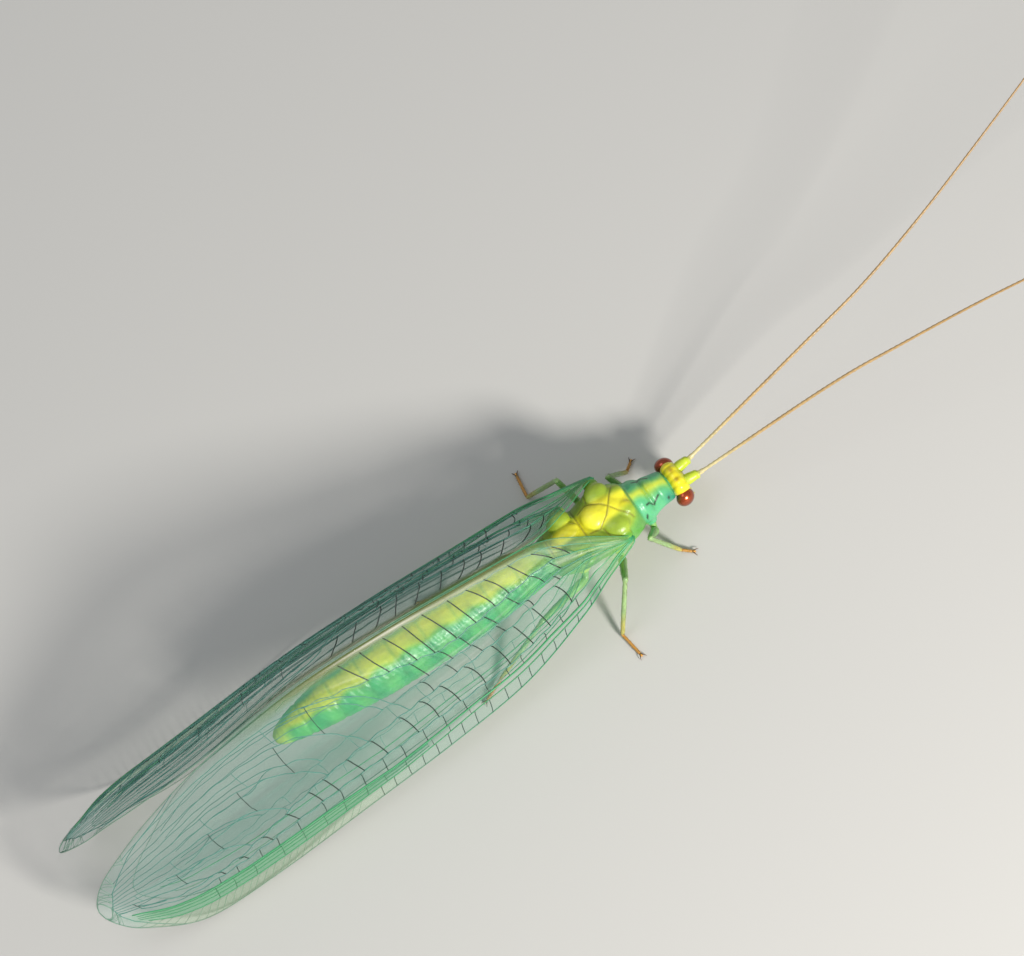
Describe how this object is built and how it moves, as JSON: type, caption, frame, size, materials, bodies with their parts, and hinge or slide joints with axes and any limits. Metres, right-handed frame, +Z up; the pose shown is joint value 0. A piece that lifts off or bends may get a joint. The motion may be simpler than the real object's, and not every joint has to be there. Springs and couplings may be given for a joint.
{
  "type": "green lacewing",
  "caption": "Life-size still model of a green lacewing at rest, roofed wings, long feelers, standing on its feet and forewing edges.",
  "frame": {"origin": "middle of the lacewing's footprint, on the floor that its feet and forewing edges stand on", "axes": "+X toward the head and feelers, +Y to the insect's left, +Z up"},
  "size_m": [0.038, 0.0078, 0.0053],
  "materials": {
    "face_cuticle": "smooth, satin, yellow with small brown marks",
    "compound_eye": "glossy, coppery red, finely faceted",
    "feeler": "matt tan, finely ringed",
    "green_cuticle": "satin green with a yellow middle stripe",
    "yellow_cuticle": "satin yellow with olive side lobes",
    "abdomen_cuticle": "satin green with a yellow back stripe",
    "wing_membrane": "clear, thin, faintly iridescent, with green and dark veins",
    "leg_cuticle": "pale green, feet yellowish brown"
  },
  "bodies": {
    "root": {"head": "face_cuticle", "eye_left": "compound_eye", "eye_right": "compound_eye", "antenna_left": "feeler", "antenna_right": "feeler", "prothorax": "green_cuticle", "mesothorax": "yellow_cuticle", "metathorax": "green_cuticle", "abdomen": "abdomen_cuticle", "forewing_left": "wing_membrane", "forewing_right": "wing_membrane", "hindwing_left": "wing_membrane", "hindwing_right": "wing_membrane", "foreleg_left": "leg_cuticle", "foreleg_right": "leg_cuticle", "midleg_left": "leg_cuticle", "midleg_right": "leg_cuticle", "hindleg_left": "leg_cuticle", "hindleg_right": "leg_cuticle"}
  },
  "joints": []
}
